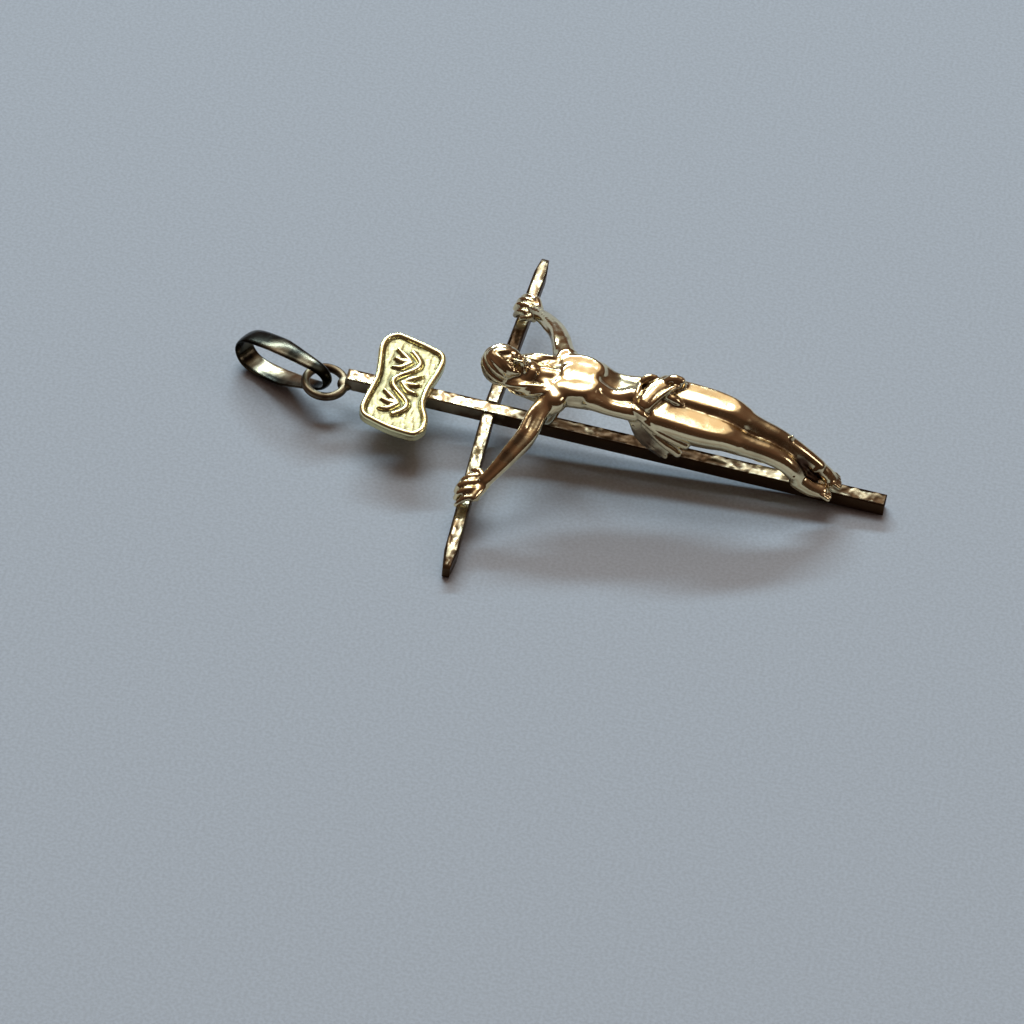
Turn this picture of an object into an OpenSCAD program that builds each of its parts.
// Crucifix pendant, lying on its back. Millimetres, +Z up, the surface it lies on is z = 0.
// The cross is drawn in its own frame first: x runs from the top of the upright to its foot,
// y runs along the crossbar to the figure's left hand, z points out of the front,
// and the middle of the crossing is the origin. lying() then lays it down.

/* [Cross] */
// Length of the upright, from its top end to its foot
upright_len = 27.8; // [26:0.2:30]
// Width of the upright's front face
upright_w = 0.8; // [0.7:0.05:0.9]
// Thickness of both bars, front to back
bar_t = 0.8; // [0.7:0.05:0.9]
// Chamfer along the edges of both bars
bar_chamfer = 0.06; // [0.04:0.01:0.1]
// Distance from the upright's top end to the middle of the crossbar
crossing_at = 7.8; // [7.6:0.1:8.2]
// Length of the crossbar, tip to tip
crossbar_len = 22.1; // [20:0.1:24]
// Width of the crossbar's front face
crossbar_w = 0.66; // [0.6:0.02:0.8]
// Length of the tapered stretch at each tip of the crossbar
tip_len = 1.1; // [0.8:0.1:1.4]
// Share of the crossbar's section that is left at its very tip
tip_share = 0.55; // [0.4:0.05:0.8]
// Bend of each half of the crossbar towards the foot, in degrees
bar_bend = 2; // [0:0.5:3]

/* [Eyelet] */
// Outer diameter of the soldered eyelet
eyelet_d = 2.44; // [2.3:0.02:2.6]
// Diameter of the eyelet's wire
eyelet_wire = 0.44; // [0.4:0.02:0.5]

/* [Bail] */
// Length of the bail, end to end
bail_len = 6; // [5.8:0.1:6.2]
// Outer radius of the bail's chain end
bail_chain_r = 1.08; // [1:0.02:1.1]
// Outer radius of the bail's belly, where it is highest
bail_belly_r = 1.16; // [1.12:0.02:1.2]
// Outer radius of the bail's eyelet end
bail_eyelet_r = 0.7; // [0.66:0.02:0.74]
// Thickness of the bail's band
bail_wall = 0.2; // [0.16:0.02:0.24]
// Width of the band at the chain end
bail_w = 1.25; // [1:0.05:1.4]
// Width of the band at the eyelet end
bail_neck_w = 0.6; // [0.5:0.05:0.65]
// How far the bail is pushed into the eyelet
bail_push = 0.7; // [0.5:0.1:0.7]
// How far the bail sits off the eyelet's middle, towards the figure's left
bail_side = 0.2; // [0:0.05:0.25]
// Turn of the loose bail towards the figure's left
bail_turn = 28; // [20:1:29]

/* [Title plate] */
// Size of the plate along the upright
plate_l = 3.3; // [3:0.1:3.6]
// Size of the plate across the upright
plate_w = 6.1; // [5.6:0.1:6.4]
// Thickness of the plate up to its sunk field
plate_t = 0.34; // [0.3:0.02:0.5]
// Width of the raised rim
plate_rim_w = 0.3; // [0.24:0.02:0.4]
// Height of the rim above the sunk field
plate_rim_h = 0.16; // [0.1:0.02:0.24]
// Distance from the crossing to the middle of the plate
plate_at = 4.95; // [4.8:0.05:5.1]
// Height of the wavy stem and leaves above the sunk field
vine_h = 0.12; // [0.08:0.02:0.16]
// Width of the wavy stem
vine_w = 0.2; // [0.16:0.02:0.26]

/* [Figure] */
// Gap between pieces that meet
gap = 0.04; // [0.03:0.01:0.06]
// How far the head bows towards the chest, in degrees
head_bow = 18; // [12:1:22]
// How far the head leans towards its right shoulder, in degrees
head_lean = 12; // [4:1:16]

/* [Lying] */
// Fall of the upright from its top end to its foot, in degrees
fall = 2.7; // [2:0.1:3.4]

/* [Hidden] */
foot_x = upright_len - crossing_at;
half_bar = crossbar_len / 2;
front_z = bar_t / 2;
eyelet_r = eyelet_d / 2 - eyelet_wire / 2;
// The eyelet's wire runs into the upright's end by half its thickness.
eyelet_off = -0.4;
eyelet_centre = [-crossing_at - eyelet_r, eyelet_off, eyelet_wire / 2 - front_z];
tip_x = crossbar_w / 2 * tip_share;
tip_bevel = 0.5;
tip_top_z = 0.1;
// The bent halves meet towards the top, and their tips are level with the origin.
bend_x = -half_bar * tan(bar_bend);

// How the pendant lies: the foot's back edge, the tip of the crossbar at the figure's right hand
// and the bail's chain end touch the surface, so the cross leans towards its right hand.
lean = asin((foot_x - tip_x) * tan(fall) / (half_bar - upright_w / 2 + bar_chamfer));
lift = foot_x * sin(fall) + cos(fall) * ((upright_w / 2 - bar_chamfer) * sin(lean) + front_z * cos(lean));

// A point of the cross's frame once the cross is laid down, before it is centred
function laid(p) =
    let (y = p.y * cos(lean) - p.z * sin(lean), z = p.y * sin(lean) + p.z * cos(lean))
    [p.x * cos(fall) + z * sin(fall), y, z * cos(fall) - p.x * sin(fall) + lift];

// The loose bail is pushed into the eyelet, whose wire lies on the band's lower side inside it,
// and its chain end lies on the surface.
bail_spread = bail_len - bail_chain_r - bail_eyelet_r;
belly_at = 0.6 * bail_spread;
bail_half_h = bail_eyelet_r + (bail_belly_r - bail_eyelet_r) * bail_push / belly_at;
// Room for the wire's curve between the band's lower side and the wire
bail_clear = 0.2;
bail_sink = bail_half_h - bail_wall - eyelet_wire / 2 - bail_clear;
bail_hook = laid(eyelet_centre - [eyelet_r, 0, 0]) + [0, bail_side, bail_sink];
bail_out = bail_spread - bail_push;
bail_dip = asin((bail_hook.z - bail_chain_r) / bail_out);
bail_reach = bail_out * cos(bail_dip) + bail_chain_r;

// Middle of the lying pendant's outline, which becomes the origin
x_min = bail_hook.x - bail_reach * cos(bail_turn) - bail_w / 2 * sin(bail_turn);
x_max = laid([foot_x, 0, front_z]).x;
y_min = laid([0, -half_bar, tip_top_z]).y;
y_max = laid([0, half_bar, -front_z]).y;
middle = [(x_min + x_max) / 2, (y_min + y_max) / 2, 0];

module lying() {
    translate([0, 0, lift] - middle) rotate([lean, fall, 0]) children();
}

// Corners of a rectangle with cut corners, as long and as high as given
function cut_rect(l, h, c) =
    [[l / 2 - c, h / 2], [-l / 2 + c, h / 2], [-l / 2, h / 2 - c], [-l / 2, -h / 2 + c],
     [-l / 2 + c, -h / 2], [l / 2 - c, -h / 2], [l / 2, -h / 2 + c], [l / 2, h / 2 - c]];

module upright() {
    translate([upright_len / 2 - crossing_at, 0, 0]) intersection() {
        rotate([90, 0, 90]) linear_extrude(upright_len, center = true)
            polygon(cut_rect(upright_w, bar_t, bar_chamfer));
        rotate([90, 0, 0]) linear_extrude(upright_w + 1, center = true)
            polygon(cut_rect(upright_len, bar_t, bar_chamfer));
    }
}

// Half of the crossbar along y; it narrows towards its tip, and its front face drops to a bevel there.
module half_crossbar() {
    w = crossbar_w / 2;
    shoulder = half_bar - tip_len;
    bevel = half_bar - tip_bevel;
    root = -crossbar_w / 4;
    intersection() {
        rotate([90, 0, 0]) linear_extrude(crossbar_len, center = true)
            polygon(cut_rect(crossbar_w, bar_t, bar_chamfer));
        linear_extrude(bar_t + 1, center = true)
            polygon([[w, root], [w, shoulder], [tip_x, half_bar],
                     [-tip_x, half_bar], [-w, shoulder], [-w, root]]);
        rotate([90, 0, 90]) linear_extrude(crossbar_w + 1, center = true)
            polygon([[root, front_z], [bevel, front_z], [half_bar, tip_top_z], [half_bar, -front_z],
                     [root, -front_z]]);
    }
}

module crossbar() {
    translate([bend_x, 0, 0]) for (side = [0, 1])
        mirror([0, side, 0]) rotate([0, 0, -bar_bend]) half_crossbar();
}

module eyelet() {
    translate(eyelet_centre) rotate_extrude($fn = 64)
        translate([eyelet_r, 0]) circle(d = eyelet_wire, $fn = 24);
}

// Upright, crossbar and eyelet, soldered into one piece
module cross() {
    color("gold") lying() union() {
        upright();
        crossbar();
        eyelet();
    }
}

// Outline of the bail, less the given inset: eyelet end at the origin, belly, chain end along x
module drop(inset) {
    hull() {
        circle(bail_eyelet_r - inset, $fn = 48);
        translate([belly_at, 0]) circle(bail_belly_r - inset, $fn = 64);
        translate([bail_spread, 0]) circle(bail_chain_r - inset, $fn = 64);
    }
}

// Tapered band bent to a long loop
module bail() {
    color("darkkhaki") translate(bail_hook - middle) rotate([0, bail_dip, 180 - bail_turn])
        translate([-bail_push, 0, 0]) intersection() {
            rotate([90, 0, 0]) linear_extrude(bail_w + 1, center = true) difference() {
                drop(0);
                drop(bail_wall);
            }
            linear_extrude(4 * bail_chain_r, center = true)
                polygon([[-bail_eyelet_r, -bail_neck_w / 2], [bail_spread / 2, -bail_w / 2],
                         [bail_len, -bail_w / 2], [bail_len, bail_w / 2],
                         [bail_spread / 2, bail_w / 2], [-bail_eyelet_r, bail_neck_w / 2]]);
        }
}

vine_turns = 1.5;
vine_swing = 0.5;
vine_share = 0.62;
leaf_w = 0.36;

// Scroll outline of the title plate about its middle, for a plate one long and one wide.
// Each row is [along the upright, across to the figure's left]; both long sides dip in once.
SCROLL = [[-0.50, 0.42], [-0.47, 0.20], [-0.36, 0.10], [-0.44, -0.08], [-0.47, -0.30],
          [-0.46, -0.44], [0.44, -0.52], [0.50, -0.36], [0.38, -0.18], [0.42, 0.02],
          [0.46, 0.22], [0.46, 0.34], [-0.34, 0.52]];

module scroll(inset) {
    soft = 0.36;
    offset(delta = -inset) offset(r = soft, $fn = 32) offset(r = -2 * soft, $fn = 32)
        offset(r = soft, $fn = 32) scale([plate_l, plate_w]) polygon(SCROLL);
}

// Point of the wavy stem, with s from 0 at one end of the plate to 1 at the other
function vine(s) = [vine_swing * sin(360 * vine_turns * s), vine_share * plate_w * (s - 0.5)];

// Wavy stem with a leaf in each of its bends
module ornament() {
    steps = 36;
    path = [for (k = [0 : steps]) vine(k / steps)];
    polygon(concat([for (k = [0 : steps]) path[k] + [vine_w / 2, 0]],
                   [for (k = [steps : -1 : 0]) path[k] - [vine_w / 2, 0]]));
    for (k = [1 : 2 : 4 * vine_turns - 1])
        translate([-1.1 * vine(k / (4 * vine_turns)).x, vine(k / (4 * vine_turns)).y])
            scale([1.5, 1]) circle(d = leaf_w, $fn = 24);
}

module plaque() {
    color("palegoldenrod") lying()
        translate([-plate_at, -0.1, front_z + gap]) union() {
            linear_extrude(plate_t) scroll(0);
            linear_extrude(plate_t + vine_h) ornament();
            linear_extrude(plate_t + plate_rim_h) difference() {
                scroll(0);
                scroll(plate_rim_w);
            }
        }
}

// A squashed ball: where its middle is, its half sizes, and how it is turned
module ball(at, half, turn = [0, 0, 0], fn = 16) {
    translate(at) rotate(turn) scale(half) sphere(1, $fn = fn);
}

// Skin over a row of balls, each row [x, y, z, half_x, half_y, half_z]
module body_run(rows, fn = 16) {
    for (i = [0 : len(rows) - 2])
        hull() for (row = [rows[i], rows[i + 1]])
            ball([row[0], row[1], row[2]], [row[3], row[4], row[5]], fn = fn);
}

// Skin over a row of round balls, each row [x, y, z, radius]
module limb(rows, fn = 14) {
    body_run([for (r = rows) [r[0], r[1], r[2], r[3], r[3], r[3]]], fn);
}

// Torso from the neck to the hips: [x, y, z, half_x, half_y, half_z]
TORSO = [[2.4, -0.1, 3.5, 0.45, 0.9, 0.45], [3.1, 0, 3.55, 0.5, 1.45, 0.7],
         [4.1, 0, 3.65, 0.6, 1.42, 0.9], [5.2, 0, 3.55, 0.6, 1.18, 0.8],
         [6.3, 0, 3.35, 0.6, 1.0, 0.68], [7.2, 0, 3.25, 0.6, 1.12, 0.82], [8.4, 0, 3.2, 0.6, 1.3, 1.0]];
// Upper back, which comes down to the upright between the shoulders: [x, y, z, half_x, half_y, half_z]
BACK = [[3.0, -0.3, 3.1, 0.6, 1.1, 0.8], [2.7, -0.4, 1.6, 0.45, 0.75, 0.6],
        [2.5, -0.25, 0.98, 0.4, 0.5, 0.5]];
// Both halves of the chest and the belly, raised on the torso: [x, y, z, half_x, half_y, half_z]
CHEST = [[3.85, -0.62, 3.98, 0.92, 0.8, 0.6], [3.85, 0.68, 4.02, 0.92, 0.8, 0.6],
         [6.7, 0.02, 3.6, 0.9, 0.74, 0.46]];
// Arms from the shoulder to the wrist: [x, y, z, radius]
ARM_RIGHT = [[2.9, -1.5, 3.4, 0.62], [2.45, -2.6, 2.8, 0.54], [1.95, -3.7, 2.1, 0.47],
             [1.5, -4.5, 1.65, 0.45], [0.55, -5.6, 1.05, 0.27]];
ARM_LEFT = [[2.9, 1.5, 3.5, 0.62], [2.55, 2.7, 2.9, 0.52], [2.05, 4.0, 2.25, 0.46],
            [1.75, 4.7, 1.9, 0.45], [0.45, 6.25, 1.15, 0.27]];
// Legs from the hip to the ankle: [x, y, z, radius]
LEG_RIGHT = [[8.6, -0.72, 3.1, 0.88], [10.4, -0.8, 3.05, 0.78], [12.0, -0.75, 2.9, 0.63],
             [12.8, -0.7, 2.75, 0.57], [14.2, -0.68, 2.2, 0.5], [15.4, -0.74, 1.6, 0.33]];
LEG_LEFT = [[8.6, 0.7, 3.2, 0.88], [10.4, 0.62, 3.25, 0.76], [12.2, 0.4, 3.05, 0.62],
            [13.1, 0.3, 2.85, 0.57], [14.7, 0.2, 2.3, 0.48], [16.1, 0.1, 1.8, 0.35]];
// Feet from the heel to the toes: [x, y, z, half_x, half_y, half_z]
FOOT_RIGHT = [[15.4, -0.74, 1.6, 0.34, 0.33, 0.34], [15.7, -0.85, 0.9, 0.34, 0.34, 0.42],
              [16.5, -0.85, 0.8, 0.4, 0.36, 0.36], [17.0, -0.7, 0.78, 0.3, 0.34, 0.24]];
FOOT_LEFT = [[16.1, 0.1, 1.8, 0.35, 0.36, 0.35], [16.55, 0.1, 1.45, 0.4, 0.4, 0.42],
             [17.1, 0.05, 1.0, 0.34, 0.38, 0.36], [17.5, 0.0, 0.76, 0.28, 0.35, 0.2]];
// Palms: [x, y, z, radius]
PALM_RIGHT = [0.15, -6.15, 0.85, 0.3];
PALM_LEFT = [-0.05, 6.9, 0.85, 0.3];
// One finger, bent over the front of the crossbar, from its knuckle: [x, y, z, radius]
FINGER = [[0.3, 0, 1.02, 0.13], [-0.15, 0, 1.04, 0.13], [-0.52, 0, 0.8, 0.12]];
fingers = 4;
finger_step = 0.21;
// Locks of hair that fall on the shoulders: [x, y, z, radius]
LOCK_RIGHT = [[0.3, -1.25, 3.8, 0.42], [1.3, -1.4, 3.5, 0.38], [2.3, -1.35, 3.7, 0.26]];
LOCK_LEFT = [[0.4, 0.45, 3.8, 0.42], [1.5, 0.75, 3.7, 0.36], [2.5, 0.95, 3.9, 0.24]];
// Where the middle of the head is
head_at = [0.1, -0.45, 4.0];
// Neck from the head to the shoulders: [x, y, z, radius]
NECK = [[1.0, -0.35, 3.8, 0.6], [2.6, -0.1, 3.5, 0.6]];
// Wrap of the loin cloth round the hips: [x, y, z, half_x, half_y, half_z]
WRAP = [[7.4, 0, 3.2, 0.45, 1.25, 0.98], [8.6, 0, 3.2, 0.6, 1.5, 1.14], [9.5, -0.05, 3.2, 0.5, 1.55, 1.05]];
// Rolled upper edge of the cloth, its knot, the folds across the thighs and the two hanging ends:
// [x, y, z, radius]
ROLL = [[6.92, -1.17, 3.06, 0.21], [7.05, -0.75, 3.75, 0.22], [7.3, 0.1, 4.2, 0.24], [7.6, 0.9, 4.1, 0.22],
        [7.9, 1.3, 3.5, 0.2]];
KNOT = [[7.6, 0.75, 4.35, 0.28], [8.2, 0.5, 4.5, 0.32], [8.7, 0.75, 4.4, 0.22]];
FOLD_UPPER = [[8.3, 0.4, 4.35, 0.24], [9.3, 0.1, 4.3, 0.24], [10.2, -0.2, 3.95, 0.16]];
FOLD_LOWER = [[7.34, -1.05, 3.5, 0.24], [8.5, -0.95, 4.05, 0.28], [10.0, -0.85, 3.9, 0.2]];
DRAPE_FRONT = [[7.26, -1.28, 3.24, 0.28], [8.5, -1.45, 2.5, 0.28], [9.9, -1.4, 1.8, 0.22]];
DRAPE_BACK = [[7.2, -1.2, 2.9, 0.3], [8.3, -1.3, 1.95, 0.3], [9.5, -1.2, 1.2, 0.24]];

module hand(wrist, palm) {
    limb([wrist, palm]);
    for (k = [0 : fingers - 1])
        translate([palm.x, palm.y + (k - (fingers - 1) / 2) * finger_step, 0]) limb(FINGER, 10);
}

// Head with its hair and beard; x runs to the chin and z out of the face
module head() {
    translate(head_at) rotate([0, head_bow, 0]) rotate([head_lean, 0, 0]) {
        ball([0, 0, 0], [1.12, 1.02, 1.05], fn = 28);
        ball([0.5, 0, 0.35], [0.95, 0.72, 0.72], fn = 20);
        ball([1.45, 0, 0.5], [0.65, 0.5, 0.45]);
        hull() {
            ball([0.25, 0, 0.98], [0.12, 0.1, 0.1]);
            ball([0.72, 0, 1.1], [0.14, 0.15, 0.12]);
        }
    }
}

module corpus() {
    color("rosybrown") lying() union() {
        body_run(TORSO, 20);
        body_run(BACK);
        for (row = CHEST) ball([row[0], row[1], row[2]], [row[3], row[4], row[5]]);
        for (run = [ARM_RIGHT, ARM_LEFT, LEG_RIGHT, LEG_LEFT]) limb(run);
        body_run(FOOT_RIGHT, 14);
        body_run(FOOT_LEFT, 14);
        hand(ARM_RIGHT[4], PALM_RIGHT);
        hand(ARM_LEFT[4], PALM_LEFT);
        limb(NECK);
        head();
        for (run = [LOCK_RIGHT, LOCK_LEFT]) limb(run, 12);
        body_run(WRAP, 20);
        for (run = [ROLL, KNOT, FOLD_UPPER, FOLD_LOWER, DRAPE_FRONT, DRAPE_BACK]) limb(run, 12);
    }
}

cross();
plaque();
corpus();
bail();
